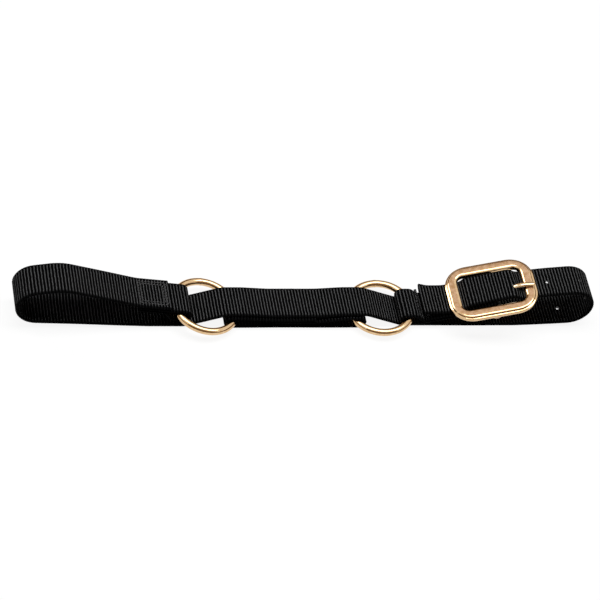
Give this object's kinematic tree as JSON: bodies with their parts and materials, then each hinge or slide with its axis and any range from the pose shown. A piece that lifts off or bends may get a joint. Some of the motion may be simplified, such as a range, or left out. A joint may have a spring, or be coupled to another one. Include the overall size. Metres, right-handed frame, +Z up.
{
  "type": "webbing martingale",
  "caption": "Short flat martingale of black ribbed webbing: a sewn loop at one end, a buckled loop at the other, joined through gold rings by an endless strap.",
  "frame": {"origin": "on the surface that the martingale lies on, midway between the rings and on the middle of the webbing", "axes": "+X along the strap towards the buckle, +Y across the webbing, +Z up"},
  "size_m": [0.3979, 0.0473, 0.0367],
  "materials": {
    "webbing": "black ribbed nylon webbing, slightly glossy ribs",
    "ring_metal": "polished pale gold plating",
    "buckle_metal": "satin pale gold plating with polished edges"
  },
  "bodies": {
    "middle": {"main_strap_middle": "webbing", "connector_strap": "webbing"},
    "left_loop": {"main_strap_left_loop": "webbing", "ring_tab": "webbing"},
    "right_loop": {"main_strap_right_loop": "webbing", "buckle_chape": "webbing", "buckle_frame": "buckle_metal", "buckle_centre_bar": "buckle_metal"},
    "tongue": {"buckle_tongue": "buckle_metal"},
    "ring_left": {"ring_left": "ring_metal"},
    "ring_right": {"ring_right": "ring_metal"}
  },
  "joints": [
    {"name": "left_loop_swing", "type": "hinge", "parent": "middle", "child": "left_loop", "pos_m": [-0.07952, 0, 0.0104], "axis": [0, 1, 0], "range_deg": [0, 10]},
    {"name": "right_loop_swing", "type": "hinge", "parent": "middle", "child": "right_loop", "pos_m": [0.07969, 0, 0.007], "axis": [0, -1, 0], "range_deg": [0, 8]},
    {"name": "ring_left_spin", "type": "hinge", "parent": "middle", "child": "ring_left", "pos_m": [-0.06085, -0.0012, 0.00773], "axis": [0.1418, 0, 0.9899], "continuous": true},
    {"name": "ring_right_spin", "type": "hinge", "parent": "middle", "child": "ring_right", "pos_m": [0.06085, -0.0012, 0.00601], "axis": [-0.0525, 0, 0.9986], "continuous": true},
    {"name": "tongue_lift", "type": "hinge", "parent": "right_loop", "child": "tongue", "pos_m": [0.13633, -0.0009, 0.02103], "axis": [0, -1, 0], "range_deg": [0, 2]}
  ]
}
